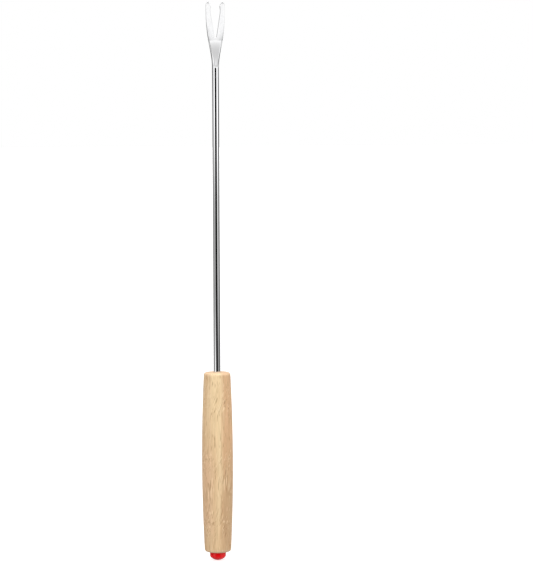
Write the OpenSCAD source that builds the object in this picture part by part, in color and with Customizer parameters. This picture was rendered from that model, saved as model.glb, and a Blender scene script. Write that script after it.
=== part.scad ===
// Two-prong roasting fork with a turned wooden grip.
// Upright, prongs up: +Z runs along the shaft from the grip to the prong tips,
// +X runs across the two prongs and +Y is square to the flat of the head.
// The origin is on the axis, half way along the wooden handle.

/* [Overall] */
// Length of bare steel from the handle's shoulder to the prong tips
reach = 158.6; // [90:0.1:320]
// Diameter of the round steel rod
rod_d = 3; // [2.7:0.1:3.2]

/* [Fork head] */
// Width across both prongs
head_w = 8.1; // [7.6:0.1:9.6]
// Length of the forged head, from the end of the round rod to the tips
head_len = 27.9; // [26:0.1:34]
// Thickness of the flattened steel at the prong tips
tip_t = 0.9; // [0.8:0.05:1.3]
// Thickness of the flattened steel at the root of the slot
root_t = 1.15; // [1:0.05:1.6]
// Depth of the slot between the prongs, from the tips to its round bottom
slot_depth = 15.7; // [12:0.1:17]
// Width of the slot just below the barbs
slot_w = 4.3; // [3.6:0.1:4.6]
// Width of the slot at its round bottom
slot_root_w = 1.1; // [0.8:0.1:1.6]
// How far each barb stands in from the slot's wall
barb = 0.25; // [0:0.05:0.4]
// Length of each pointed tip, from the barb to the point
point_len = 2.3; // [1.6:0.1:3]

/* [Handle] */
// Length of the wooden handle
handle_len = 77.6; // [70:0.1:120]
// Diameter at the middle of the handle
grip_d = 13.4; // [12.4:0.1:18]
// Diameter at each end of the handle, before its edge is rounded
grip_end_d = 11.4; // [10.6:0.1:12]
// Radius of the rounded edges at both ends
edge_r = 1.1; // [0.5:0.1:1.6]

/* [Inside the handle] */
// Length of the tang hidden in the handle
tang_len = 48; // [30:1:48]
// Diameter of the drilled hole for the tang
tang_bore_d = 3.4; // [3.3:0.05:3.8]
// Width across the two flats that stop the tang turning in its adhesive
flats_w = 2.4; // [2:0.1:2.8]
// Depth of the two crimped grooves that stop the tang pulling out
groove_depth = 0.3; // [0.1:0.05:0.5]
// Diameter of the drilled socket for the plug's stem
socket_d = 4.2; // [3.8:0.1:4.6]
// Depth of the drilled socket
socket_depth = 11; // [9:0.5:12]

/* [End plug] */
// Diameter of the plug's domed head
plug_d = 6.9; // [6:0.1:8]
// How far the domed head stands out of the handle
plug_proud = 3.8; // [3:0.1:4.5]
// Height of the crowned part of the head
crown_h = 2.25; // [2:0.05:2.6]
// Colour of the plug, which tells one person's fork from another's
plug_colour = "red"; // [yellow, orange, red, purple, blue, green]

/* [Hidden] */

// Roundness of the turned and drilled surfaces
fine = 96;
// A join that passes this much beyond a face leaves no skin behind
eps = 0.05;

// Main heights on the axis
z_top = handle_len / 2;
z_butt = -handle_len / 2;
z_tip = z_top + reach;
z_head = z_tip - head_len;
z_tang = z_top - tang_len;

rod_r = rod_d / 2;
head_r = head_w / 2;
grip_r = grip_d / 2;
end_r = grip_end_d / 2;

// Barrel: an arc through the middle and both ends of the handle
sag = grip_r - end_r;
arc_r = (z_top * z_top + sag * sag) / (2 * sag);
arc_x = grip_r - arc_r;
// Edge circle: touches the end face and, from inside, the barrel's arc
edge_z = z_top - edge_r;
edge_x = arc_x + sqrt((arc_r - edge_r) * (arc_r - edge_r) - edge_z * edge_z);
// Height at which the edge circle runs into the barrel's arc, and the tilt
// of the surface there
meet_z = edge_z * arc_r / (arc_r - edge_r);
meet_a = asin(meet_z / arc_r);
// Radius of the barrel at height z
function barrel(z) = arc_x + sqrt(arc_r * arc_r - z * z);
barrel_steps = 36;
edge_steps = 8;
// One end's rounded edge, from the barrel to the end face
edge_pts = [for (i = [1 : edge_steps])
    let (a = meet_a + (90 - meet_a) * i / edge_steps)
    [edge_x + edge_r * cos(a), edge_z + edge_r * sin(a)]];

// Half width of the forged head at a share u of its length, from rod to tips
function flare(u) = 1 - pow(1 - pow(u, 1.7), 4);
steps = 26;
side_pts = [for (i = [1 : steps]) let (u = i / steps)
    [rod_r + (head_r - rod_r) * flare(u), z_head + head_len * u]];

// Half thickness: an even taper over the prongs, then a long concave ramp
// that grows into the full rod
ramp_len = head_len - slot_depth - 1;
ramp_steps = 12;
function half_t(d) = d < head_len - ramp_len
    ? (tip_t + (root_t - tip_t) * d / (head_len - ramp_len)) / 2
    : root_t / 2 + (rod_r - root_t / 2)
        * pow(max(0, d - head_len + ramp_len) / ramp_len, 1.8);
face_pts = concat(
    [[half_t(0), z_tip + 1], [half_t(0), z_tip]],
    [for (i = [0 : ramp_steps])
        let (d = head_len - ramp_len + ramp_len * i / ramp_steps)
        [half_t(d), z_tip - d]]);

// Slot walls, from just below the barbs down to the round bottom
slot_r = slot_root_w / 2;
slot_z = z_tip - slot_depth + slot_r;
waist_z = z_tip - point_len * 2;
barb_z = z_tip - point_len;
barb_x = slot_w / 2 - barb;
// The point of each prong sits nearer its outer edge
point_x = barb_x + (head_r - barb_x) * 0.6;

// Domed head: a crown arc on the axis that touches a tighter edge arc
plug_r = plug_d / 2;
rim_r = 1.5;
rim_x = plug_r - rim_r;
crown_r = (rim_x * rim_x + crown_h * crown_h - rim_r * rim_r)
    / (2 * (crown_h - rim_r));
crown_z = crown_r - crown_h;
touch_x = crown_r * rim_x / (crown_r - rim_r);
collar_h = plug_proud - crown_h;

// Stem of the plug
stem_len = socket_depth - 1;
barb_land = 0.4;
barb_pitch = 2.6;

// Flats and grooves on the tang
flats_len = 8;
flats_z = z_tang + 4;
groove_len = 2;
groove_z = [z_tang + 16, z_tang + 21];

// Outline of the head before its faces are pressed flat
module head_outline() {
    polygon(concat([[0, z_head], [rod_r, z_head]], side_pts, [[0, z_tip]]));
}

// Outline of the round rod up to height z, with its chamfered end and grooves
module rod_outline(z) {
    polygon(concat(
        [[0, z_tang], [rod_r - 0.7, z_tang], [rod_r, z_tang + 1.2]],
        [for (g = groove_z, k = [[0, 0], [1, 0.3], [1, groove_len - 0.3], [0, groove_len]])
            [rod_r - groove_depth * k[0], g + k[1]]],
        [[rod_r, z], [0, z]]));
}

// Round rod up to height z, with the grooves and the two flats of its tang
module tang_and_rod(z) {
    difference() {
        rotate_extrude($fn = fine) rod_outline(z);
        for (side = [-1, 1])
            translate([side * (flats_w / 2 + 1), 0, flats_z + flats_len / 2])
                cube([2, rod_d + 1, flats_len], center = true);
    }
}

// Front view of one side of the head: slot, barb and point
module prong_void() {
    // Slot and the mouth between the barbs
    polygon([
        [0, slot_z], [slot_r, slot_z], [slot_w / 2, waist_z],
        [barb_x, barb_z], [point_x - 0.15, z_tip - 0.08],
        [point_x - 0.15, z_tip + 1], [0, z_tip + 1]]);
    // Outer slope of the point
    polygon([
        [point_x + 0.15, z_tip + 1], [point_x + 0.15, z_tip - 0.08],
        [head_r + 0.02, z_tip - point_len * 0.75], [head_r + 1, z_tip - point_len * 0.75],
        [head_r + 1, z_tip + 1]]);
}

module head_voids() {
    rotate([90, 0, 0])
        linear_extrude(height = head_w + 4, center = true) {
            prong_void();
            mirror([1, 0]) prong_void();
            translate([0, slot_z]) circle(r = slot_r, $fn = 48);
        }
}

// Steel pressed away at the front and back of the head
module pressed_face() {
    rotate([90, 0, 90])
        linear_extrude(height = head_w + 4, center = true)
            polygon(concat(face_pts,
                [[rod_r, z_head - eps], [head_r + 1, z_head - eps],
                 [head_r + 1, z_tip + 1]]));
}

// Forged two-prong head: starts as the round rod and is pressed flat and wide
module fork_head() {
    color("silver") difference() {
        rotate_extrude($fn = fine) head_outline();
        pressed_face();
        mirror([0, 1, 0]) pressed_face();
        head_voids();
    }
}

// Round steel rod, with its tang at the handle end
module shaft() {
    color("silver") tang_and_rod(z_head);
}

// Cured adhesive that fills the drilled hole around the tang
module tang_adhesive() {
    color("lightyellow") difference() {
        translate([0, 0, z_tang - 2])
            cylinder(d = tang_bore_d, h = tang_len + 2 - 0.4, $fn = fine);
        tang_and_rod(z_top + 1);
    }
}

// Half section of the barrel, with its rounded edges
module barrel_section() {
    polygon(concat(
        [[0, z_top], [0, z_butt]],
        [for (i = [edge_steps - 1 : -1 : 0]) [edge_pts[i][0], -edge_pts[i][1]]],
        [for (i = [0 : barrel_steps])
            let (z = meet_z * (2 * i / barrel_steps - 1)) [barrel(z), z]],
        edge_pts));
}

// Turned wooden handle, drilled from both ends
module handle() {
    color("burlywood") difference() {
        rotate_extrude($fn = fine) barrel_section();
        translate([0, 0, z_tang - 2])
            cylinder(d = tang_bore_d, h = tang_len + 3, $fn = fine);
        translate([0, 0, z_butt - 1])
            cylinder(d = socket_d, h = socket_depth + 1, $fn = fine);
    }
}

// Half section of the domed head, lying under the handle's end face
module dome_section() {
    translate([0, -collar_h]) square([plug_r, collar_h]);
    intersection() {
        union() {
            translate([rim_x, -collar_h]) circle(r = rim_r, $fn = fine);
            intersection() {
                translate([0, crown_z - collar_h]) circle(r = crown_r, $fn = 192);
                translate([0, -collar_h - crown_h - 1])
                    square([touch_x, crown_h + 1]);
            }
        }
        translate([0, -collar_h - crown_h - 1])
            square([plug_r + 1, crown_h + 1]);
    }
}

// Coloured plastic plug: domed head outside, barbed stem pressed into the wood
module end_plug() {
    color(plug_colour) union() {
        translate([0, 0, z_butt])
            rotate_extrude($fn = fine) dome_section();
        translate([0, 0, z_butt - collar_h])
            cylinder(r = socket_d / 2 - 0.2, h = collar_h + stem_len - 0.6, $fn = fine);
        translate([0, 0, z_butt + stem_len - 0.6])
            cylinder(r1 = socket_d / 2 - 0.2, r2 = socket_d / 2 - 0.7, h = 0.6, $fn = fine);
        for (i = [0 : 2])
            translate([0, 0, z_butt + 1.6 + i * barb_pitch]) {
                cylinder(d = socket_d, h = barb_land, $fn = fine);
                translate([0, 0, barb_land])
                    cylinder(r1 = socket_d / 2, r2 = socket_d / 2 - 0.2,
                             h = 1.2, $fn = fine);
            }
    }
}

fork_head();
shaft();
tang_adhesive();
handle();
end_plug();
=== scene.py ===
"""Looks for the two-prong roasting fork: steel, wood, plug and studio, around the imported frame."""

import math

import bpy
import bmesh
import numpy as np
from mathutils import Matrix, Vector


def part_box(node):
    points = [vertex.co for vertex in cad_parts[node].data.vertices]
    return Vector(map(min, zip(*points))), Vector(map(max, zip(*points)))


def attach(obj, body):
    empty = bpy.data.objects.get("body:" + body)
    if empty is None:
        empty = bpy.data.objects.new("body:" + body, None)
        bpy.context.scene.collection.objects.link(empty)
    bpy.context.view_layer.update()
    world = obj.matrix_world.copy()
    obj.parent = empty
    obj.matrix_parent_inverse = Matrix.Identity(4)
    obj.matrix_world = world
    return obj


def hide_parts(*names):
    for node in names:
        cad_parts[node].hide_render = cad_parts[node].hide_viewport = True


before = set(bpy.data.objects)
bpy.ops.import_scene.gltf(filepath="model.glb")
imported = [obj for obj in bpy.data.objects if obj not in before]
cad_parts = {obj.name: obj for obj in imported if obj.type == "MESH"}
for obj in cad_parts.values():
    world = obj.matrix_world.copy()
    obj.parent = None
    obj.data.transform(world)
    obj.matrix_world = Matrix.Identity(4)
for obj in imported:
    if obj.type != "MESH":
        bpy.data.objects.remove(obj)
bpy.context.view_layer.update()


MM = 0.001
SCENE = bpy.context.scene

# ---------------------------------------------------------------- sizes
# Read from the frame where a node's box gives them, in millimetres.
head_lo, head_hi = (np.array(c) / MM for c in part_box("fork_head"))
shaft_lo, shaft_hi = (np.array(c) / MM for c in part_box("shaft"))
grip_lo, grip_hi = (np.array(c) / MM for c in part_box("handle"))
glue_lo, glue_hi = (np.array(c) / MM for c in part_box("tang_adhesive"))
plug_lo, plug_hi = (np.array(c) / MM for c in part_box("end_plug"))

Z_TIP = float(head_hi[2])
Z_HEAD = float(head_lo[2])
Z_TANG = float(shaft_lo[2])
Z_TOP = float(grip_hi[2])
Z_BUTT = float(grip_lo[2])
HEAD_LEN = Z_TIP - Z_HEAD
ROD_R = 1.5
HEAD_R = 4.05
SLOT_DEPTH = 15.7
SLOT_W = 4.3
SLOT_R = 0.55
BARB = 0.25
POINT_LEN = 2.3
TIP_T = 0.9
ROOT_T = 1.15
GRIP_R = 6.7
SAG = 1.0
EDGE_R = 1.1
BORE_R = 1.7
SOCKET_R = 2.1
SOCKET_DEPTH = 11.0
PLUG_R = 3.45
PLUG_PROUD = 3.8
CROWN_H = 2.25

# The side of the object that faces the viewer: an angle round Z from -Y
FACING = math.radians(-8.0)
TO_VIEWER = Vector((math.sin(FACING), -math.cos(FACING), 0.0))
TO_RIGHT = Vector((math.cos(FACING), math.sin(FACING), 0.0))


# ---------------------------------------------------------------- camera
def project(point, eye, turn, f):
    local = turn.inverted() @ (Vector(point) - eye)
    return f * local.x / -local.z, -f * local.y / -local.z


def add_camera():
    """Stands 1 m in front and a little above, and frames the fork left of the middle."""
    width, height = 533.0, 563.0
    eye = TO_VIEWER * 1.0
    eye.z = 0.150
    want = {
        "tip": (0.0, 0.0, Z_TIP * MM, 0.5),
        "butt": (0.0, 0.0, (Z_BUTT - PLUG_PROUD) * MM, 559.75),
    }
    axis_x = 217.55
    roll = math.radians(-0.21)
    yaw, pitch, f = 0.0, math.radians(-4.0), 2350.0
    forward0 = -TO_VIEWER
    heading = math.atan2(forward0.y, forward0.x)

    def turn_of(yaw, pitch):
        d = Vector((
            math.cos(heading + yaw) * math.cos(pitch),
            math.sin(heading + yaw) * math.cos(pitch),
            math.sin(pitch),
        ))
        q = d.to_track_quat("-Z", "Y").to_matrix()
        return q @ Matrix.Rotation(roll, 3, "Z")

    def misses(v):
        turn = turn_of(v[0], v[1])
        out = []
        xs = []
        for name in ("tip", "butt"):
            x, y, z, row = want[name]
            px, py = project((x, y, z), eye, turn, v[2])
            out.append(height / 2 + py - row)
            xs.append(width / 2 + px)
        handle = project((0, 0, 0), eye, turn, v[2])
        out.append(width / 2 + handle[0] - axis_x)
        return np.array(out)

    v = np.array([yaw, pitch, f])
    for _ in range(30):
        base = misses(v)
        jac = np.zeros((3, 3))
        for i, h in enumerate((1e-5, 1e-5, 0.1)):
            w = v.copy()
            w[i] += h
            jac[:, i] = (misses(w) - base) / h
        v = v - np.linalg.solve(jac, base)
    yaw, pitch, f = (float(x) for x in v)
    data = bpy.data.cameras.new("view")
    data.sensor_fit = "AUTO"
    data.sensor_width = 36.0
    data.lens = f / height * 36.0
    data.clip_start = 0.01
    data.clip_end = 60.0
    data.dof.use_dof = False
    cam = bpy.data.objects.new("view", data)
    SCENE.collection.objects.link(cam)
    cam.matrix_world = Matrix.Translation(eye) @ turn_of(yaw, pitch).to_4x4()
    SCENE.camera = cam
    return cam


add_camera()


# ---------------------------------------------------------------- node graphs
class Graph:
    """Short calls for node trees. Values may be numbers or sockets."""

    def __init__(self, tree):
        self.tree = tree
        self.nodes = tree.nodes
        self.links = tree.links

    def new(self, kind, **props):
        n = self.nodes.new(kind)
        for key, value in props.items():
            setattr(n, key, value)
        return n

    def put(self, socket, value):
        if isinstance(value, bpy.types.NodeSocket):
            self.links.new(value, socket)
        elif value is not None:
            socket.default_value = value

    def math(self, op, a, b=None, c=None, clamp=False):
        n = self.new("ShaderNodeMath", operation=op, use_clamp=clamp)
        self.put(n.inputs[0], a)
        if b is not None:
            self.put(n.inputs[1], b)
        if c is not None:
            self.put(n.inputs[2], c)
        return n.outputs[0]

    def vec(self, op, a, b=None, scale=None):
        n = self.new("ShaderNodeVectorMath", operation=op)
        self.put(n.inputs[0], a)
        if b is not None:
            self.put(n.inputs[1], b)
        if scale is not None:
            self.put(n.inputs["Scale"], scale)
        return n.outputs["Value" if op in ("DOT_PRODUCT", "LENGTH", "DISTANCE") else "Vector"]

    def step(self, x, lo, hi, a=0.0, b=1.0):
        """Smooth step of x from lo to hi, going from a to b."""
        n = self.new("ShaderNodeMapRange", interpolation_type="SMOOTHSTEP", clamp=True)
        self.put(n.inputs["Value"], x)
        self.put(n.inputs["From Min"], lo)
        self.put(n.inputs["From Max"], hi)
        self.put(n.inputs["To Min"], a)
        self.put(n.inputs["To Max"], b)
        return n.outputs["Result"]

    def noise(self, vector, scale=1.0, detail=2.0, rough=0.5, distort=0.0, w=None):
        n = self.new("ShaderNodeTexNoise")
        if w is not None:
            n.noise_dimensions = "4D"
            n.inputs["W"].default_value = w
        self.put(n.inputs["Vector"], vector)
        self.put(n.inputs["Scale"], scale)
        self.put(n.inputs["Detail"], detail)
        self.put(n.inputs["Roughness"], rough)
        self.put(n.inputs["Distortion"], distort)
        return n.outputs[0]

    def mapping(self, vector, scale=(1, 1, 1), rotation=(0, 0, 0), location=(0, 0, 0)):
        n = self.new("ShaderNodeMapping")
        self.put(n.inputs["Vector"], vector)
        n.inputs["Scale"].default_value = scale
        n.inputs["Rotation"].default_value = rotation
        n.inputs["Location"].default_value = location
        return n.outputs["Vector"]

    def mix(self, fac, a, b, blend="MIX"):
        n = self.new("ShaderNodeMix", data_type="RGBA", blend_type=blend, clamp_factor=True)
        self.put(n.inputs[0], fac)
        self.put(n.inputs[6], a)
        self.put(n.inputs[7], b)
        return n.outputs[2]

    def ramp(self, fac, stops, interpolation="LINEAR"):
        n = self.new("ShaderNodeValToRGB")
        n.color_ramp.interpolation = interpolation
        el = n.color_ramp.elements
        while len(el) > 1:
            el.remove(el[-1])
        for i, (pos, colour) in enumerate(stops):
            e = el[0] if i == 0 else el.new(pos)
            e.position = pos
            e.color = (*colour, 1.0) if len(colour) == 3 else colour
        self.put(n.inputs["Fac"], fac)
        return n.outputs["Color"]


def srgb(r, g, b):
    def lin(c):
        c /= 255.0
        return c / 12.92 if c <= 0.04045 else ((c + 0.055) / 1.055) ** 2.4
    return (lin(r), lin(g), lin(b))


def rgba(c):
    return (c[0], c[1], c[2], 1.0)


def material(name):
    m = bpy.data.materials.new(name)
    m.use_nodes = True
    m.node_tree.nodes.clear()
    g = Graph(m.node_tree)
    out = g.new("ShaderNodeOutputMaterial")
    shader = g.new("ShaderNodeBsdfPrincipled")
    g.links.new(shader.outputs[0], out.inputs["Surface"])
    return m, g, shader


# ---------------------------------------------------------------- steel material
def steel_material():
    """Bright drawn wire: near mirror, with fine lengthwise draw lines and faint handling marks."""
    m, g, s = material("polished_steel")
    pos = g.new("ShaderNodeTexCoord").outputs["Object"]
    s.inputs["Metallic"].default_value = 1.0
    lines = g.noise(g.mapping(pos, (9000, 9000, 90)), 1.0, 3.0, 0.6)
    broad = g.noise(g.mapping(pos, (420, 420, 60)), 1.0, 3.0, 0.55)
    marks = g.noise(g.mapping(pos, (1500, 1500, 900)), 1.0, 5.0, 0.62, 0.4)
    shade = g.math("ADD", g.math("MULTIPLY", lines, 0.35), g.math("MULTIPLY", broad, 0.65))
    g.put(s.inputs["Base Color"], g.ramp(shade, [
        (0.30, (0.765, 0.770, 0.785)),
        (0.52, (0.815, 0.815, 0.820)),
        (0.72, (0.850, 0.848, 0.843)),
    ]))
    smudge = g.step(marks, 0.42, 0.72, 0.0, 1.0)
    rough = g.math("ADD", 0.020, g.math("MULTIPLY", smudge, 0.035))
    g.put(s.inputs["Roughness"], g.math("ADD", rough, g.math("MULTIPLY", lines, 0.030)))
    bump = g.new("ShaderNodeBump")
    bump.inputs["Strength"].default_value = 0.20
    bump.inputs["Distance"].default_value = 0.0000004
    g.put(bump.inputs["Height"], g.math("ADD", lines, g.math("MULTIPLY", marks, 0.5)))
    g.put(s.inputs["Normal"], bump.outputs["Normal"])
    return m


# ---------------------------------------------------------------- wood material
def wood_material():
    """Pale close-grained hardwood, sanded: soft upright bands, fine fibres, short leaning pores."""
    m, g, s = material("turned_wood")
    tc = g.new("ShaderNodeTexCoord")
    pos = tc.outputs["Object"]
    normal = g.new("ShaderNodeNewGeometry").outputs["Normal"]
    xyz = g.new("ShaderNodeSeparateXYZ")
    g.put(xyz.inputs[0], pos)
    z = g.math("MULTIPLY", xyz.outputs[2], 1000.0)
    side = g.math("MULTIPLY", g.vec("DOT_PRODUCT", pos, tuple(TO_RIGHT)), 1000.0)
    near = g.math("MULTIPLY", g.vec("DOT_PRODUCT", pos, tuple(TO_VIEWER)), 1000.0)
    nz = g.new("ShaderNodeSeparateXYZ")
    g.put(nz.inputs[0], normal)
    end = g.step(g.math("ABSOLUTE", nz.outputs[2]), 0.80, 0.97)

    # slow drift of the fibres, and a lean that comes and goes along the handle
    sway = g.noise(g.mapping(pos, (60, 60, 26), location=(0.31, 0.7, 0.13)), 1.0, 1.0, 0.5)
    sway = g.math("MULTIPLY", g.math("SUBTRACT", sway, 0.5), 0.0022)
    drift = g.new("ShaderNodeCombineXYZ")
    g.put(drift.inputs[0], sway)
    g.put(drift.inputs[1], g.math("MULTIPLY", sway, -0.7))
    fibre = g.vec("ADD", pos, drift.outputs[0])
    # shift = 0.13 z + 0.9 mm * sin(2 pi (z - 25.6) / 26), so the pores lean in patches
    swing = g.math("MULTIPLY", g.math("SINE", g.math("MULTIPLY", g.math("SUBTRACT", z, 25.6), 0.2417)), 0.0009)
    slip = g.math("ADD", g.math("MULTIPLY", xyz.outputs[2], 0.13), swing)
    shear = g.new("ShaderNodeCombineXYZ")
    g.put(shear.inputs[0], g.math("MULTIPLY", slip, -1.0))
    leaning = g.vec("ADD", fibre, shear.outputs[0])

    # upright bands
    bands = g.noise(g.mapping(fibre, (300, 300, 13), location=(0.27, 0.11, 0.4)), 1.0, 3.0, 0.55)
    ground = g.ramp(bands, [
        (0.28, srgb(208, 168, 128)),
        (0.42, srgb(218, 182, 140)),
        (0.53, srgb(226, 194, 152)),
        (0.64, srgb(231, 203, 161)),
        (0.78, srgb(222, 188, 145)),
    ])
    streak = g.noise(g.mapping(fibre, (950, 950, 40), location=(1.7, 0.2, 0.0)), 1.0, 3.0, 0.6)
    ground = g.mix(g.step(streak, 0.50, 0.76, 0.0, 0.42), ground, rgba(srgb(200, 158, 116)))
    ground = g.mix(g.step(streak, 0.26, 0.46, 0.30, 0.0), ground, rgba(srgb(238, 214, 174)))

    # warmer wood down the right side above the middle, rosier down the left below it
    front = g.step(near, -1.0, 1.5)
    edge_wave = g.math("MULTIPLY", g.math("SUBTRACT", streak, 0.5), 3.2)
    warm = g.math("MULTIPLY", g.step(g.math("ADD", side, edge_wave), 1.2, 3.0), g.step(z, -16.0, 6.0, 0.35, 1.0))
    warm = g.math("MULTIPLY", warm, front)
    ground = g.mix(g.math("MULTIPLY", warm, 0.62), ground, rgba(srgb(212, 165, 122)))
    rosy = g.math("MULTIPLY", g.step(g.math("SUBTRACT", edge_wave, side), 1.0, 2.6), g.step(z, 12.0, -4.0))
    rosy = g.math("MULTIPLY", g.math("MULTIPLY", rosy, g.step(z, -37.0, -24.0)), front)
    ground = g.mix(g.math("MULTIPLY", rosy, 0.50), ground, rgba(srgb(229, 190, 155)))

    # painted highlight: paler down the middle of the side facing the viewer, most of all above half height
    painted_centre_light = g.math("ADD", g.math("ADD", side, 0.55), g.math("MULTIPLY", edge_wave, 0.6))
    painted_centre_light = g.step(g.math("ABSOLUTE", painted_centre_light), 3.2, 1.2)
    painted_centre_light = g.math("MULTIPLY", g.math("MULTIPLY", painted_centre_light, front), g.step(z, -4.0, 18.0, 0.27, 0.57))
    ground = g.mix(painted_centre_light, ground, rgba(srgb(243, 218, 172)))

    # painted shade: darker down the right of the lower half, on the side facing the viewer
    painted_right_shade = g.math("MULTIPLY", g.step(g.math("ADD", side, g.math("MULTIPLY", edge_wave, 0.8)), 1.0, 3.6), g.step(z, 14.0, -20.0))
    ground = g.mix(g.math("MULTIPLY", g.math("MULTIPLY", painted_right_shade, front), 0.62), ground, rgba(srgb(190, 153, 112)))

    # a little deeper towards the butt
    ground = g.mix(g.step(z, 30.0, -40.0, 0.0, 0.27), ground, rgba(srgb(200, 166, 128)))

    # fine fibres
    fine = g.noise(g.mapping(fibre, (3000, 3000, 120)), 1.0, 4.0, 0.65)
    value = g.ramp(fine, [(0.30, (0.86, 0.84, 0.81)), (0.52, (1.0, 1.0, 1.0)), (0.72, (1.06, 1.06, 1.07))])
    ground = g.mix(1.0, ground, value, "MULTIPLY")

    # short leaning pores, and light flecks between them
    where = g.noise(g.mapping(pos, (170, 170, 95), location=(0.9, 1.3, 0.2)), 1.0, 2.0, 0.5)
    pore_n = g.noise(g.mapping(leaning, (2700, 2700, 190), location=(0.0, 0.5, 0.3)), 1.0, 1.0, 0.4)
    gate = g.step(where, 0.40, 0.66, 0.05, -0.055)
    pore = g.step(g.math("SUBTRACT", pore_n, gate), 0.585, 0.69)
    pore = g.math("MULTIPLY", pore, g.math("SUBTRACT", 1.0, end))
    fleck_n = g.noise(g.mapping(leaning, (2600, 2600, 200), location=(4.0, 1.5, 0.8)), 1.0, 1.0, 0.4)
    fleck = g.step(g.math("SUBTRACT", fleck_n, gate), 0.60, 0.70)
    dots = g.noise(g.mapping(pos, (4200, 4200, 700), location=(0.5, 2.5, 0.1)), 1.0, 2.0, 0.5)
    end_pore = g.math("MULTIPLY", g.step(dots, 0.60, 0.68), end)
    ground = g.mix(g.math("MULTIPLY", fleck, 0.52), ground, rgba(srgb(247, 224, 184)))
    ground = g.mix(g.math("MULTIPLY", pore, 0.60), ground, rgba(srgb(164, 120, 80)))
    ground = g.mix(g.math("MULTIPLY", end_pore, 0.55), ground, rgba(srgb(150, 108, 72)))

    # growth rings where the ends cut across the fibres
    pith = g.vec("SUBTRACT", pos, (0.021, -0.016, 0.0))
    flat = g.new("ShaderNodeSeparateXYZ")
    g.put(flat.inputs[0], pith)
    radius = g.math("SQRT", g.math("ADD", g.math("POWER", flat.outputs[0], 2.0), g.math("POWER", flat.outputs[1], 2.0)))
    wave = g.math("SINE", g.math("MULTIPLY", g.math("ADD", radius, g.math("MULTIPLY", sway, 0.15)), 5200.0))
    ring = g.math("MULTIPLY", g.step(wave, 0.1, 1.0, 0.0, 0.35), end)
    ground = g.mix(ring, ground, rgba(srgb(198, 148, 104)))
    ground = g.mix(g.math("MULTIPLY", end, 0.22), ground, rgba(srgb(232, 190, 160)))

    # painted highlight: the last 1.6 mm at both ends, rounded edges and end faces, painted a little paler; one small
    # knot near the butt
    painted_end_light = g.step(g.math("ABSOLUTE", z), Z_TOP - 1.6, Z_TOP - 0.4, 0.0, 0.30)
    ground = g.mix(painted_end_light, ground, rgba(srgb(243, 212, 178)))
    spot_r = 5.5
    spot_x = 4.88
    spot_y = math.sqrt(spot_r ** 2 - spot_x ** 2)
    spot = TO_RIGHT * (spot_x * MM) + TO_VIEWER * (spot_y * MM) + Vector((0, 0, -35.7 * MM))
    off = g.vec("MULTIPLY", g.vec("SUBTRACT", pos, tuple(spot)), (1.0, 1.0, 0.62))
    away = g.math("MULTIPLY", g.vec("LENGTH", off), 1000.0)
    away = g.math("ADD", away, g.math("MULTIPLY", g.math("SUBTRACT", fine, 0.5), 0.5))
    knot = g.step(away, 0.62, 0.16)
    halo = g.step(away, 1.7, 0.5, 0.0, 0.30)
    ground = g.mix(halo, ground, rgba(srgb(196, 148, 100)))
    ground = g.mix(g.math("MULTIPLY", knot, 0.85), ground, rgba(srgb(112, 68, 36)))
    g.put(s.inputs["Base Color"], ground)

    rough_n = g.noise(g.mapping(pos, (700, 700, 90)), 1.0, 3.0, 0.6)
    rough = g.step(rough_n, 0.3, 0.7, 0.42, 0.56)
    rough = g.math("ADD", rough, g.math("MULTIPLY", pore, 0.15))
    g.put(s.inputs["Roughness"], g.math("ADD", rough, g.math("MULTIPLY", end, 0.12)))
    s.inputs["IOR"].default_value = 1.46
    s.inputs["Specular IOR Level"].default_value = 0.40
    s.inputs["Coat Weight"].default_value = 0.06
    s.inputs["Coat Roughness"].default_value = 0.32

    height = g.math("SUBTRACT", g.math("MULTIPLY", fine, 0.45), g.math("MULTIPLY", pore, 1.0))
    height = g.math("SUBTRACT", height, g.math("MULTIPLY", end_pore, 0.8))
    height = g.math("SUBTRACT", height, g.math("MULTIPLY", knot, 0.6))
    bump = g.new("ShaderNodeBump")
    bump.inputs["Strength"].default_value = 0.65
    bump.inputs["Distance"].default_value = 0.00004
    g.put(bump.inputs["Height"], height)
    g.put(s.inputs["Normal"], bump.outputs["Normal"])
    return m


# ---------------------------------------------------------------- plug and adhesive materials
def plug_material():
    """Glossy moulded plastic with a faint orange peel and a few scuffs on the crown."""
    m, g, s = material("red_plastic")
    pos = g.new("ShaderNodeTexCoord").outputs["Object"]
    xyz = g.new("ShaderNodeSeparateXYZ")
    g.put(xyz.inputs[0], pos)
    cloud = g.noise(pos, 420.0, 3.0, 0.5)
    tint = g.ramp(cloud, [(0.30, srgb(226, 8, 14)), (0.52, srgb(238, 12, 18)), (0.74, srgb(246, 20, 25))])
    scuff_n = g.noise(g.mapping(pos, (1800, 5200, 5200), rotation=(0.3, 0.5, 0.9)), 1.0, 3.0, 0.55)
    low = g.step(xyz.outputs[2], (Z_BUTT - 2.0) * MM, (Z_BUTT - 3.4) * MM)
    scuff = g.math("MULTIPLY", g.step(scuff_n, 0.60, 0.72), g.math("MULTIPLY", low, 0.35))
    g.put(s.inputs["Base Color"], g.mix(scuff, tint, rgba(srgb(236, 86, 84))))
    peel = g.noise(pos, 2600.0, 2.0, 0.5)
    g.put(s.inputs["Roughness"], g.math("ADD", g.step(cloud, 0.3, 0.7, 0.20, 0.27), g.math("MULTIPLY", scuff, 0.5)))
    s.inputs["IOR"].default_value = 1.49
    s.inputs["Specular IOR Level"].default_value = 0.34
    s.inputs["Subsurface Weight"].default_value = 0.06
    s.inputs["Subsurface Radius"].default_value = (0.0012, 0.0003, 0.0003)
    s.inputs["Subsurface Scale"].default_value = 1.0
    bump = g.new("ShaderNodeBump")
    bump.inputs["Strength"].default_value = 0.25
    bump.inputs["Distance"].default_value = 0.000006
    g.put(bump.inputs["Height"], g.math("SUBTRACT", peel, g.math("MULTIPLY", scuff, 0.8)))
    g.put(s.inputs["Normal"], bump.outputs["Normal"])
    return m


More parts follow.
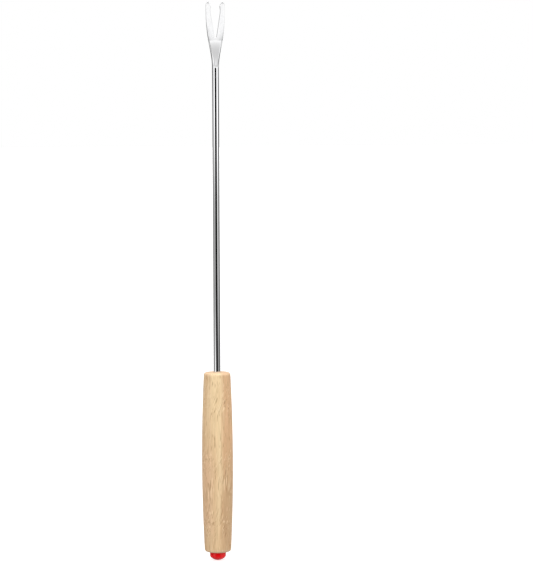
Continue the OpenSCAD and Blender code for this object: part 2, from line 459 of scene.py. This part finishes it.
def adhesive_material():
    """Cured resin, amber and slightly cloudy, with small bubbles."""
    m, g, s = material("cured_adhesive")
    pos = g.new("ShaderNodeTexCoord").outputs["Object"]
    cloud = g.noise(pos, 900.0, 4.0, 0.6)
    g.put(s.inputs["Base Color"], g.ramp(cloud, [
        (0.30, srgb(176, 138, 82)), (0.55, srgb(205, 172, 112)), (0.75, srgb(224, 198, 146)),
    ]))
    cells = g.new("ShaderNodeTexVoronoi")
    g.put(cells.inputs["Vector"], pos)
    cells.inputs["Scale"].default_value = 3200.0
    bubble = g.step(cells.outputs["Distance"], 0.12, 0.30)
    g.put(s.inputs["Roughness"], g.step(cloud, 0.3, 0.7, 0.25, 0.42))
    s.inputs["Coat Weight"].default_value = 0.2
    s.inputs["Coat Roughness"].default_value = 0.15
    bump = g.new("ShaderNodeBump")
    bump.inputs["Strength"].default_value = 0.5
    bump.inputs["Distance"].default_value = 0.00002
    g.put(bump.inputs["Height"], bubble)
    g.put(s.inputs["Normal"], bump.outputs["Normal"])
    return m


STEEL = steel_material()
WOOD = wood_material()
PLASTIC = plug_material()
GLUE = adhesive_material()


# ---------------------------------------------------------------- mesh helpers
def add_piece(name, verts, faces, mat, sharp_deg=32.0, merge=2e-7):
    """Mesh object in metres from points in millimetres, welded, outward and smooth."""
    mesh = bpy.data.meshes.new(name)
    mesh.from_pydata([tuple(float(c) * MM for c in v) for v in verts], [], faces)
    bm = bmesh.new()
    bm.from_mesh(mesh)
    bmesh.ops.remove_doubles(bm, verts=bm.verts[:], dist=merge)
    bmesh.ops.dissolve_degenerate(bm, edges=bm.edges[:], dist=merge)
    loose = [v for v in bm.verts if not v.link_faces]
    if loose:
        bmesh.ops.delete(bm, geom=loose, context="VERTS")
    bmesh.ops.recalc_face_normals(bm, faces=bm.faces[:])
    for f in bm.faces:
        f.smooth = True
    bm.to_mesh(mesh)
    bm.free()
    mesh.update()
    mesh.set_sharp_from_angle(angle=math.radians(sharp_deg))
    mesh.materials.append(mat)
    ob = bpy.data.objects.new(name, mesh)
    SCENE.collection.objects.link(ob)
    return ob


def lathe(profile, segments):
    """Closed surface from a half section [(r, z)...] whose ends lie on the axis."""
    verts, faces, rings = [], [], []
    for r, z in profile:
        if r < 1e-9:
            rings.append([len(verts)])
            verts.append((0.0, 0.0, z))
        else:
            rings.append(list(range(len(verts), len(verts) + segments)))
            for k in range(segments):
                a = 2 * math.pi * k / segments
                verts.append((r * math.cos(a), r * math.sin(a), z))
    for a, b in zip(rings, rings[1:]):
        for k in range(segments):
            j = (k + 1) % segments
            if len(a) == 1 and len(b) == 1:
                continue
            if len(a) == 1:
                faces.append((a[0], b[k], b[j]))
            elif len(b) == 1:
                faces.append((a[k], b[0], a[j]))
            else:
                faces.append((a[k], b[k], b[j], a[j]))
    return verts, faces


def ripple(x, y, z, seed, scale):
    """Smooth repeatable unevenness between -1 and 1."""
    rng = np.random.default_rng(seed)
    total = 0.0
    for _ in range(7):
        k = rng.normal(size=3) * np.array(scale)
        total = total + np.sin(k[0] * x + k[1] * y + k[2] * z + rng.uniform(0, 6.283))
    return total / 7.0


# ---------------------------------------------------------------- steel: head, rod and tang in one
def flare(u):
    return 1.0 - np.power(np.clip(1.0 - np.power(np.clip(u, 0, 1), 1.7), 0, 1), 4.0)


def blur(values, step, sigma):
    """Gaussian blur of an evenly sampled curve, with its ends held."""
    half = int(math.ceil(4 * sigma / step))
    k = np.exp(-0.5 * (np.arange(-half, half + 1) * step / sigma) ** 2)
    k /= k.sum()
    padded = np.concatenate([
        values[0] + (values[1] - values[0]) * np.arange(-half, 0),
        values,
        values[-1] + (values[-1] - values[-2]) * np.arange(1, half + 1),
    ])
    return np.convolve(padded, k, mode="valid")


def steel_curves():
    """Half width, half thickness and slot wall of the head against height."""
    step = 0.01
    z = np.arange(Z_HEAD - 12.0, Z_TIP + 0.5, step)
    u = (z - Z_HEAD) / HEAD_LEN
    wide = np.where(u > 0, ROD_R + (HEAD_R - ROD_R) * flare(u), ROD_R)
    ramp = HEAD_LEN - SLOT_DEPTH - 1.0
    d = Z_TIP - z
    flat = (TIP_T + (ROOT_T - TIP_T) * d / (HEAD_LEN - ramp)) / 2
    rise = np.clip((d - HEAD_LEN + ramp) / ramp, 0, 1)
    grown = ROOT_T / 2 + (ROD_R - ROOT_T / 2) * rise ** 1.8
    thick = np.where(d < HEAD_LEN - ramp, flat, grown)
    thick = blur(thick, step, 0.32)
    # the very ends of the prongs are dressed a little thinner
    t = np.clip((z - (Z_TIP - 1.5)) / 1.5, 0, 1)
    thick = thick * (1 - 0.30 * t * t)

    # outer side runs up to a shoulder, then slopes in to the point
    z_sh = Z_TIP - POINT_LEN * 0.75
    slot_z = Z_TIP - SLOT_DEPTH + SLOT_R
    waist_z, barb_z = Z_TIP - POINT_LEN * 2, Z_TIP - POINT_LEN
    barb_x = SLOT_W / 2 - BARB
    apex_in = (1.14 / 2.22)
    apex_out = (0.71 / 1.645)
    outer = np.where(z < z_sh, wide, HEAD_R - apex_out * (z - z_sh))
    outer = np.where(z > z_sh - 1.5, blur(outer, step, 0.16), wide)
    inner = np.interp(z, [slot_z, waist_z, barb_z, barb_z + 4], [SLOT_R, SLOT_W / 2, barb_x, barb_x + 4 * apex_in])
    soft_waist = blur(inner, step, 0.45)
    soft_barb = blur(inner, step, 0.07)
    w = np.clip((z - (waist_z + 0.9)) / 0.5, 0, 1)
    soft = soft_waist * (1 - w) + soft_barb * w
    inner = np.where(z > slot_z + 2.0, soft, inner)
    return z, wide, thick, outer, inner, z_sh, slot_z, barb_x, apex_in, apex_out


def apex_circle(z, outer, inner, r):
    """Circle that rounds the point where both slopes meet, and touches the tip's height."""
    cz = Z_TIP - r
    at = lambda curve, zz: float(np.interp(zz, z, curve))
    slope_in = (at(inner, Z_TIP) - at(inner, Z_TIP - 0.5)) / 0.5
    slope_out = (at(outer, Z_TIP) - at(outer, Z_TIP - 0.5)) / 0.5
    a_in, a_out = math.atan(slope_in), math.atan(-slope_out)
    # distance from the circle's centre to each slope is r; both give the centre's x
    x_in = at(inner, cz) + r / math.cos(a_in)
    x_out = at(outer, cz) - r / math.cos(a_out)
    return x_in, x_out, cz, a_in, a_out


def build_steel():
    z, wide, thick, outer, inner, z_sh, slot_z, barb_x, k_in, k_out = steel_curves()
    # radius at which the circle touches both slopes
    lo, hi = 0.02, 0.5
    for _ in range(50):
        r = (lo + hi) / 2
        x_in, x_out, cz, a_in, a_out = apex_circle(z, outer, inner, r)
        if x_in < x_out:
            lo = r
        else:
            hi = r
    r_apex = (lo + hi) / 2
    x_in, x_out, cz, a_in, a_out = apex_circle(z, outer, inner, r_apex)
    cx = (x_in + x_out) / 2
    z_touch_in = cz + r_apex * math.sin(a_in)
    z_touch_out = cz + r_apex * math.sin(a_out)

    def at(curve, zz):
        return np.interp(zz, z, curve)

    def x_outer(zz):
        if zz >= z_touch_out:
            return cx + math.sqrt(max(0.0, r_apex ** 2 - (zz - cz) ** 2))
        if zz < Z_HEAD - 11.9:
            return ROD_R
        return float(at(outer, zz))

    slot_bottom = slot_z - SLOT_R

    def x_inner(zz):
        if zz <= slot_bottom:
            return 0.0
        if zz < slot_z:
            return math.sqrt(max(0.0, SLOT_R ** 2 - (zz - slot_z) ** 2))
        if zz >= z_touch_in:
            return cx - math.sqrt(max(0.0, r_apex ** 2 - (zz - cz) ** 2))
        return float(at(inner, zz))

    def half_thick(zz):
        if zz < Z_HEAD - 11.9:
            return ROD_R
        return min(float(at(thick, zz)), ROD_R)

    # heights of the rows
    rows = []
    groove = (Z_TANG + 16.0, Z_TANG + 21.0)
    flats = (Z_TANG + 4.0, Z_TANG + 12.0)
    rows += [Z_TANG, Z_TANG + 0.6, Z_TANG + 1.2, Z_TANG + 1.3, Z_TANG + 2.6]
    rows += [flats[0] - 0.03, flats[0] + 0.03, flats[0] + 2.6, flats[0] + 5.3, flats[1] - 0.03, flats[1] + 0.03]
    rows += [flats[1] + 2.0]
    for g0 in groove:
        rows += [g0 - 0.05, g0, g0 + 0.3, g0 + 0.36, g0 + 1.0, g0 + 1.64, g0 + 1.7, g0 + 2.0, g0 + 2.05]
    rows += list(np.linspace(Z_TANG + 27.0, Z_TOP - 2.0, 4))
    rows += list(np.linspace(Z_TOP, Z_HEAD - 7.0, 27))
    rows += list(np.linspace(Z_HEAD - 5.0, Z_HEAD - 2.4, 4))
    rows += list(np.arange(Z_HEAD - 2.0, Z_HEAD + 2.0, 0.14))
    rows += list(np.arange(Z_HEAD + 2.0, slot_bottom - 0.6, 0.32))
    rows += [slot_bottom - q for q in (0.45, 0.32, 0.22, 0.15, 0.11, 0.08, 0.055, 0.032, 0.014)]
    rows += [slot_z - SLOT_R * math.cos(math.radians(t)) for t in range(0, 91, 9)]
    rows += list(np.linspace(slot_z, Z_TIP - POINT_LEN * 2 - 1.0, 26)[1:])
    rows += list(np.linspace(Z_TIP - POINT_LEN * 2 - 1.0, Z_TIP - POINT_LEN - 0.5, 14)[1:])
    rows += list(np.linspace(Z_TIP - POINT_LEN - 0.5, Z_TIP - POINT_LEN + 0.3, 13)[1:])
    rows += list(np.linspace(Z_TIP - POINT_LEN + 0.3, cz, 24)[1:])
    rows += [cz + r_apex * math.sin(math.radians(t)) for t in (12, 24, 34, 44, 53, 61, 68, 74, 79, 83, 86.5)]
    rows += [Z_TIP]
    rows = np.array(sorted(set(round(float(q), 5) for q in rows)))

    # cut outline: slot bottom, slot wall, barb, point and outer slope
    cut = [(SLOT_R * math.sin(math.radians(t)), slot_z - SLOT_R * math.cos(math.radians(t))) for t in np.arange(0, 90, 1.0)]
    for zz in np.arange(slot_z, cz, 0.02):
        cut.append((x_inner(zz), zz))
    for t in np.arange(-10, 190, 2.0):
        a = math.radians(180 - t)
        px, pz = cx + r_apex * math.cos(a), cz + r_apex * math.sin(a)
        cut.append((px, pz))
    for zz in np.arange(cz, z_sh, -0.02):
        cut.append((x_outer(zz), zz))
    cut = np.array(cut)
    x_sh = x_outer(z_sh)

    def cut_distance(px, pz):
        a = np.stack([px, pz], -1)[:, None, :] - cut[None, :, :]
        return np.sqrt((a ** 2).sum(-1)).min(1)

    r_cut = 0.11
    n_cols = 30

    def edge_radius(zz):
        """Rounding of the outer edge: a full round on the ramp, a small one on the prongs."""
        t = half_thick(zz)
        w = min(1.0, max(0.0, (zz - (Z_TIP - 20.0)) / 4.6))
        w = w * w * (3 - 2 * w)
        return t * (1 - w) + min(t, 0.12) * w

    def profile(zz, xs):
        """Half thickness at points xs of a row, before the tang's own cuts."""
        t = half_thick(zz)
        xo = x_outer(zz)
        if zz <= z_sh:
            slope = (x_outer(zz) - x_outer(zz - 0.05)) / 0.05 if zz > Z_HEAD - 3 else 0.0
            d_out = (xo - xs) * math.cos(math.atan(slope))
        else:
            d_out = np.hypot(x_sh - xs, zz - z_sh)
        re = edge_radius(zz)
        q = np.clip(d_out / re, 0, 1)
        y = t - re + re * np.sqrt(np.clip(1 - (1 - q) ** 2, 0, 1))
        if zz > Z_HEAD - 2:
            # pressed faces are very slightly crowned
            blend = min(1.0, max(0.0, (xo - re) / 1.2))
            y = y * (1 - 0.075 * blend * (xs / max(xo, HEAD_R * 0.6)) ** 2)
        if zz > slot_bottom - 0.6:
            d = cut_distance(xs, np.full_like(xs, zz))
            rc = min(r_cut, 0.45 * t)
            qc = np.clip(d / rc, 0, 1)
            y = y * ((t - rc + rc * np.sqrt(np.clip(1 - (1 - qc) ** 2, 0, 1))) / t)
        return y

    def columns(zz):
        xi, xo = x_inner(zz), x_outer(zz)
        t = half_thick(zz)
        w = xo - xi
        if w < 0.01:
            # the tip itself: both walls meet in one short edge
            return np.full(n_cols + 1, (xi + xo) / 2)
        # samples, closer together at both ends
        s = 0.5 - 0.5 * np.cos(np.linspace(0, math.pi, 500))
        if xi == 0.0:
            s = 1 - np.cos(np.linspace(0, math.pi / 2, 500))
            s = 1 - s[::-1]
        xs = xi + w * s
        ys = profile(zz, xs)
        dl = np.hypot(np.diff(xs), np.diff(ys))
        mid = (xs[1:] + xs[:-1]) / 2
        weight = np.ones_like(mid)
        re = edge_radius(zz)
        weight += np.where(xo - mid < re, 0.8 / re, 0.0)
        boost = min(1.0, max(0.0, (zz - (slot_bottom - 2.5)) / 2.3))
        weight += np.where(mid - xi < 0.13, boost * 8.0, 0.0)
        if zz > z_sh - 0.4:
            k = min(1.0, (zz - (z_sh - 0.4)) / 0.6)
            weight += np.where(xo - mid < 0.13, k * 5.0, 0.0)
        c = np.concatenate([[0], np.cumsum(dl * weight)])
        c /= c[-1]
        out = np.interp(np.linspace(0, 1, n_cols + 1), c, xs)
        out[0], out[-1] = xi, xo
        return out

    X, Y = [], []
    for zz in rows:
        xs = columns(zz)
        ys = profile(zz, xs)
        if zz < Z_TOP:
            # tang: chamfered end, crimped grooves, two flats
            r = ROD_R
            r = min(r, float(np.interp(zz, [Z_TANG, Z_TANG + 1.2], [ROD_R - 0.7, ROD_R])))
            for g0 in groove:
                if g0 <= zz <= g0 + 2.0:
                    r = float(np.interp(zz, [g0, g0 + 0.3, g0 + 1.7, g0 + 2.0], [ROD_R, ROD_R - 0.3, ROD_R - 0.3, ROD_R]))
            a = np.linspace(0, math.pi / 2, n_cols + 1)
            xs, ys = r * np.sin(a), r * np.cos(a)
            ys[-1] = 0.0
            if flats[0] < zz < flats[1]:
                keep = math.sqrt(r * r - 1.2 ** 2)
                a1 = math.asin(1.2 / r)
                share = 22
                a = np.concatenate([np.linspace(0, a1, share + 1), np.zeros(n_cols - share)])
                xs = r * np.sin(a)
                ys = r * np.cos(a)
                xs[share:] = 1.2
                ys[share:] = np.linspace(keep, 0, n_cols - share + 1)
        X.append(xs)
        Y.append(ys)
    X, Y = np.array(X), np.array(Y)
    m = len(rows)

    verts, faces = [], []
    index = {}

    def vert(x, y, zz):
        key = (round(x, 6), round(y, 6), round(zz, 6))
        if key not in index:
            index[key] = len(verts)
            # a faint unevenness from hammering and polishing, nothing at the tip itself
            verts.append((x, y, zz))
        return index[key]

    def face(*ids):
        ring = []
        for i in ids:
            if not ring or ring[-1] != i:
                ring.append(i)
        if len(ring) > 1 and ring[0] == ring[-1]:
            ring.pop()
        if len(set(ring)) == len(ring) and len(ring) > 2:
            faces.append(tuple(ring))

    for mirror in (1, -1):
        for i in range(m - 1):
            for j in range(n_cols):
                for front in (-1, 1):
                    q = [(X[i, j], Y[i, j], rows[i]), (X[i, j + 1], Y[i, j + 1], rows[i]),
                         (X[i + 1, j + 1], Y[i + 1, j + 1], rows[i + 1]), (X[i + 1, j], Y[i + 1, j], rows[i + 1])]
                    face(*[vert(mirror * a, front * b, c) for a, b, c in q])
            # slot wall
            if rows[i] >= slot_bottom - 1e-4:
                wall(face, vert, mirror, X[i, 0], Y[i, 0], rows[i], X[i + 1, 0], Y[i + 1, 0], rows[i + 1])
            # cut outer slope
            if Y[i, -1] > 1e-6 or Y[i + 1, -1] > 1e-6:
                wall(face, vert, mirror, X[i, -1], Y[i, -1], rows[i], X[i + 1, -1], Y[i + 1, -1], rows[i + 1])
        # end of the tang
        for j in range(n_cols):
            ids = [vert(mirror * X[0, j], -Y[0, j], rows[0]), vert(mirror * X[0, j + 1], -Y[0, j + 1], rows[0]),
                   vert(mirror * X[0, j + 1], Y[0, j + 1], rows[0]), vert(mirror * X[0, j], Y[0, j], rows[0])]
            face(*ids)

    v = np.array(verts)
    near_head = np.clip((v[:, 2] - (Z_HEAD - 6)) / 6, 0, 1) * np.clip((Z_TIP - v[:, 2]) / 3.0, 0, 1)
    uneven = ripple(v[:, 0], v[:, 1], v[:, 2], 5, (0.55, 0.0, 0.75)) * 0.0035 * near_head
    grown = np.abs(v[:, 1]) / 1.5
    v[:, 1] += np.sign(v[:, 1]) * uneven * np.clip(grown * 4, 0, 1)
    piece = add_piece("fork_steel", v, faces, STEEL, sharp_deg=38.0)
    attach(piece, "root")
    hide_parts("fork_head", "shaft")
    return piece


def wall(face, vert, mirror, xa, ya, za, xb, yb, zb, parts=4):
    """Strip across the thickness between two rows of an edge."""
    for k in range(parts):
        t0, t1 = -1 + 2 * k / parts, -1 + 2 * (k + 1) / parts
        face(vert(mirror * xa, ya * t0, za), vert(mirror * xa, ya * t1, za),
             vert(mirror * xb, yb * t1, zb), vert(mirror * xb, yb * t0, zb))


# ---------------------------------------------------------------- handle
def build_handle():
    arc_r = (Z_TOP ** 2 + SAG ** 2) / (2 * SAG)
    arc_x = GRIP_R - arc_r
    edge_z = Z_TOP - EDGE_R
    edge_x = arc_x + math.sqrt((arc_r - EDGE_R) ** 2 - edge_z ** 2)
    meet_z = edge_z * arc_r / (arc_r - EDGE_R)
    meet_a = math.asin(meet_z / arc_r)
    barrel = lambda q: arc_x + math.sqrt(arc_r ** 2 - q ** 2)
    bottom = Z_TANG - 2.0
    p = [(0.0, bottom), (BORE_R * 0.6, bottom), (BORE_R, bottom)]
    p += [(BORE_R, q) for q in np.linspace(bottom, Z_TOP - 0.22, 14)[1:]]
    # mouth of the bore, its edge broken by sanding
    for t in (25, 50, 75, 90):
        a = math.radians(t)
        p.append((BORE_R + 0.22 * (1 - math.cos(a)), Z_TOP - 0.22 + 0.22 * math.sin(a)))
    p += [(r, Z_TOP) for r in np.linspace(BORE_R + 0.22, edge_x, 12)[1:]]
    n = 14
    for i in range(1, n + 1):
        a = math.pi / 2 + (meet_a - math.pi / 2) * i / n
        p.append((edge_x + EDGE_R * math.cos(a), edge_z + EDGE_R * math.sin(a)))
    for q in np.linspace(meet_z, -meet_z, 73)[1:]:
        p.append((barrel(q), q))
    for i in range(1, n + 1):
        a = meet_a + (math.pi / 2 - meet_a) * i / n
        p.append((edge_x + EDGE_R * math.cos(a), -edge_z - EDGE_R * math.sin(a)))
    p += [(r, Z_BUTT) for r in np.linspace(edge_x, SOCKET_R + 0.2, 10)[1:]]
    for t in (25, 50, 75, 90):
        a = math.radians(t)
        p.append((SOCKET_R + 0.2 * (1 - math.sin(a)), Z_BUTT + 0.2 * (1 - math.cos(a))))
    p += [(SOCKET_R, q) for q in np.linspace(Z_BUTT + 0.2, Z_BUTT + SOCKET_DEPTH, 8)[1:]]
    p += [(SOCKET_R * 0.5, Z_BUTT + SOCKET_DEPTH), (0.0, Z_BUTT + SOCKET_DEPTH)]
    verts, faces = lathe(p, 168)
    v = np.array(verts)
    rad = np.hypot(v[:, 0], v[:, 1])
    # turning and hand sanding leave the barrel a few hundredths out of round, always inwards
    skin = np.clip((rad - 4.2) / 0.9, 0, 1)
    dip = 0.5 + 0.5 * ripple(v[:, 0], v[:, 1], v[:, 2], 11, (0.42, 0.42, 0.16))
    dip2 = 0.5 + 0.5 * ripple(v[:, 0], v[:, 1], v[:, 2], 12, (1.6, 1.6, 0.30))
    inward = (0.030 * dip + 0.010 * dip2) * skin * np.clip((Z_TOP - np.abs(v[:, 2])) / 1.5, 0, 1)
    scale = 1 - inward / np.maximum(rad, 1e-6)
    v[:, 0] *= scale
    v[:, 1] *= scale
    piece = add_piece("handle_wood", v, faces, WOOD, sharp_deg=40.0)
    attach(piece, "root")
    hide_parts("handle")
    return piece


# ---------------------------------------------------------------- end plug
def build_plug():
    rim_r = 1.5
    rim_x = PLUG_R - rim_r
    crown_r = (rim_x ** 2 + CROWN_H ** 2 - rim_r ** 2) / (2 * (CROWN_H - rim_r))
    collar = PLUG_PROUD - CROWN_H
    zc = Z_BUTT - collar
    crown_z = zc + crown_r - CROWN_H
    touch = math.atan2(rim_x, crown_r - CROWN_H)
    stem_r, barb_r = SOCKET_R - 0.2, SOCKET_R
    stem_top = Z_BUTT + SOCKET_DEPTH - 1.0
    p = [(0.0, stem_top), (stem_r - 0.5, stem_top), (stem_r, stem_top - 0.6)]
    for i in (2, 1, 0):
        z0 = Z_BUTT + 1.6 + i * 2.6
        p += [(stem_r, z0 + 1.6), (barb_r, z0 + 0.4), (barb_r, z0), (stem_r, z0 - 0.002)]
    p += [(stem_r, Z_BUTT + 0.25)]
    for t in (30, 60, 90):
        a = math.radians(t)
        p.append((stem_r + 0.25 * (1 - math.cos(a)), Z_BUTT + 0.25 - 0.25 * math.sin(a)))
    p += [(r, Z_BUTT) for r in np.linspace(stem_r + 0.25, PLUG_R - 0.18, 6)[1:]]
    # rounded top edge, collar wall, tight edge arc, crown
    for t in (20, 40, 60, 80, 90):
        a = math.radians(t)
        p.append((PLUG_R - 0.18 + 0.18 * math.sin(a), Z_BUTT - 0.18 + 0.18 * math.cos(a)))
    p += [(PLUG_R, q) for q in np.linspace(Z_BUTT - 0.18, zc, 5)[1:]]
    a_end = math.pi / 2 - touch
    for i in range(1, 15):
        a = a_end * i / 14
        p.append((rim_x + rim_r * math.cos(a), zc - rim_r * math.sin(a)))
    for i in range(1, 15):
        a = touch * (1 - i / 14)
        r = crown_r * math.sin(a)
        p.append((r if i < 14 else 0.0, crown_z - crown_r * math.cos(a)))
    verts, faces = lathe(p, 128)
    piece = add_piece("end_plug_moulding", verts, faces, PLASTIC, sharp_deg=40.0)
    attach(piece, "root")
    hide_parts("end_plug")
    return piece


build_steel()
build_handle()
build_plug()
for slot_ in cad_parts["tang_adhesive"].material_slots:
    slot_.material = GLUE


# ---------------------------------------------------------------- studio
def add_floor():
    """Pale floor that the fork stands on."""
    bpy.ops.mesh.primitive_plane_add(size=24.0, location=(0, 0, (Z_BUTT - PLUG_PROUD) * MM - 0.00002))
    floor = bpy.context.active_object
    floor.name = "floor"
    m, g, s = material("pale_floor")
    s.inputs["Base Color"].default_value = (0.55, 0.55, 0.55, 1.0)
    s.inputs["Roughness"].default_value = 0.9
    s.inputs["Specular IOR Level"].default_value = 0.0
    s.inputs["Emission Color"].default_value = (1.0, 1.0, 1.0, 1.0)
    s.inputs["Emission Strength"].default_value = 0.66
    floor.data.materials.append(m)
    floor.visible_glossy = False
    floor.visible_diffuse = False
    floor.visible_shadow = False
    return floor


def add_world():
    """Soft boxes each side of a dark gap, a grey room, and a lit ceiling. White behind, for the eye alone."""
    world = bpy.data.worlds.new("studio")
    SCENE.world = world
    world.use_nodes = True
    world.node_tree.nodes.clear()
    g = Graph(world.node_tree)
    out = g.new("ShaderNodeOutputWorld")
    d = g.new("ShaderNodeTexCoord").outputs["Generated"]
    fwd = g.vec("DOT_PRODUCT", d, tuple(TO_VIEWER))
    right = g.vec("DOT_PRODUCT", d, tuple(TO_RIGHT))
    up = g.vec("DOT_PRODUCT", d, (0.0, 0.0, 1.0))
    deg = 180.0 / math.pi
    az = g.math("MULTIPLY", g.math("ARCTAN2", right, fwd), deg)
    el = g.math("MULTIPLY", g.math("ARCSINE", up), deg)
    away = g.math("ABSOLUTE", az)

    def by_height(stops):
        """Radiance against elevation, from [(degrees, value)...], values up to 3."""
        fac = g.math("ADD", g.math("DIVIDE", el, 180.0), 0.5)
        pts = [(e / 180.0 + 0.5, (v / 3.0,) * 3) for e, v in stops]
        c = g.ramp(fac, pts)
        n = g.new("ShaderNodeSeparateColor")
        g.put(n.inputs[0], c)
        return g.math("MULTIPLY", n.outputs[0], 3.0)

    gap = by_height([(-90, 0.6), (-35, 0.5), (-20, 0.10), (-12, 0.01), (1.4, 0.008), (2.3, 1.12), (2.8, 1.26),
                     (3.4, 1.16), (4.6, 1.02), (5.7, 0.93), (8.4, 0.80), (10.8, 0.75), (13.0, 0.78), (15.1, 0.88),
                     (17.2, 1.15), (24.0, 1.4), (90, 1.5)])
    left = by_height([(-90, 0.5), (-40, 0.60), (-23, 0.62), (-17, 1.1), (-14, 1.3), (-8.5, 1.2), (-6.6, 1.25), (-5.6, 0.8), (-4.6, 0.42),
                      (-2.2, 0.45), (-1.2, 0.9), (-0.2, 1.45), (0.9, 1.35), (2.0, 1.5), (3.4, 1.3), (5.2, 0.86),
                      (12.0, 0.84), (15.0, 1.9), (19.5, 3.0), (44.0, 3.0), (60.0, 1.8), (90, 1.5)])
    rightb = by_height([(-90, 0.5), (-40, 0.95), (-14, 0.86), (-9.4, 0.88), (-8.5, 1.1), (-7.1, 0.30), (-6.0, 0.30), (-4.6, 0.62), (-2.2, 0.85),
                        (-1.2, 1.3), (-0.2, 1.5), (2.0, 1.5), (3.4, 1.2), (5.2, 0.80), (12.5, 0.80), (15.5, 1.9),
                        (19.5, 3.0), (44.0, 3.0), (60.0, 1.8), (90, 1.5)])
    room_l = by_height([(-90, 0.5), (-30, 0.34), (-14, 0.18), (-7, 0.20), (-4.6, 0.30), (-2.15, 0.38), (-0.2, 0.33),
                        (0.7, 0.16), (1.3, 0.16), (2.2, 0.50), (25.0, 0.45), (50.0, 1.0), (90, 1.5)])
    room_r = by_height([(-90, 0.5), (-30, 0.60), (-14, 0.80), (-8.0, 0.75), (-6.8, 0.15), (-6, 0.13), (-2.0, 0.10), (-0.2, 0.13), (0.9, 0.24),
                        (2.2, 0.70), (8.0, 0.55), (25.0, 0.45), (50.0, 1.0), (90, 1.5)])
    back_l = by_height([(-90, 0.5), (-30, 0.42), (0.0, 0.40), (25.0, 0.5), (50.0, 1.0), (90, 1.5)])
    back_r = by_height([(-90, 0.5), (-30, 0.75), (-10.2, 0.80), (-8.8, 0.41), (0.0, 0.40), (25.0, 0.5), (50.0, 1.0), (90, 1.5)])
    white = by_height([(-90, 0.6), (-30, 0.8), (0.0, 1.1), (40.0, 1.2), (90, 1.5)])
    dark = by_height([(-90, 0.4), (-25, 0.34), (-6, 0.24), (20.0, 0.24), (50.0, 0.9), (90, 1.5)])

    def blend(w, a, b):
        return g.math("ADD", g.math("MULTIPLY", a, g.math("SUBTRACT", 1.0, w)), g.math("MULTIPLY", b, w))

    is_right = g.step(az, -1.0, 1.0)
    boxes = blend(is_right, left, rightb)
    light = blend(g.step(away, 30.0, 32.5), gap, boxes)
    light = blend(g.step(away, 71.0, 75.5), light, blend(is_right, room_l, room_r))
    light = blend(g.step(away, 112.0, 124.0), light, blend(is_right, back_l, back_r))
    # behind: a pale wall on the right, dark on the left
    light = blend(g.step(az, 146.0, 152.0), light, white)
    light = blend(g.step(az, -144.0, -152.0), light, dark)
    light = blend(g.step(away, 172.0, 175.0), light, dark)
    path = g.new("ShaderNodeLightPath")
    light = blend(path.outputs["Is Camera Ray"], light, 1.0)
    bg = g.new("ShaderNodeBackground")
    colour = g.new("ShaderNodeCombineColor")
    for i in range(3):
        g.put(colour.inputs[i], light)
    g.put(bg.inputs["Color"], colour.outputs[0])
    bg.inputs["Strength"].default_value = 1.0
    g.links.new(bg.outputs[0], out.inputs["Surface"])


add_floor()
add_world()
SCENE.view_settings.view_transform = "Standard"
SCENE.view_settings.look = "None"
SCENE.view_settings.exposure = 0.0
SCENE.view_settings.gamma = 1.0
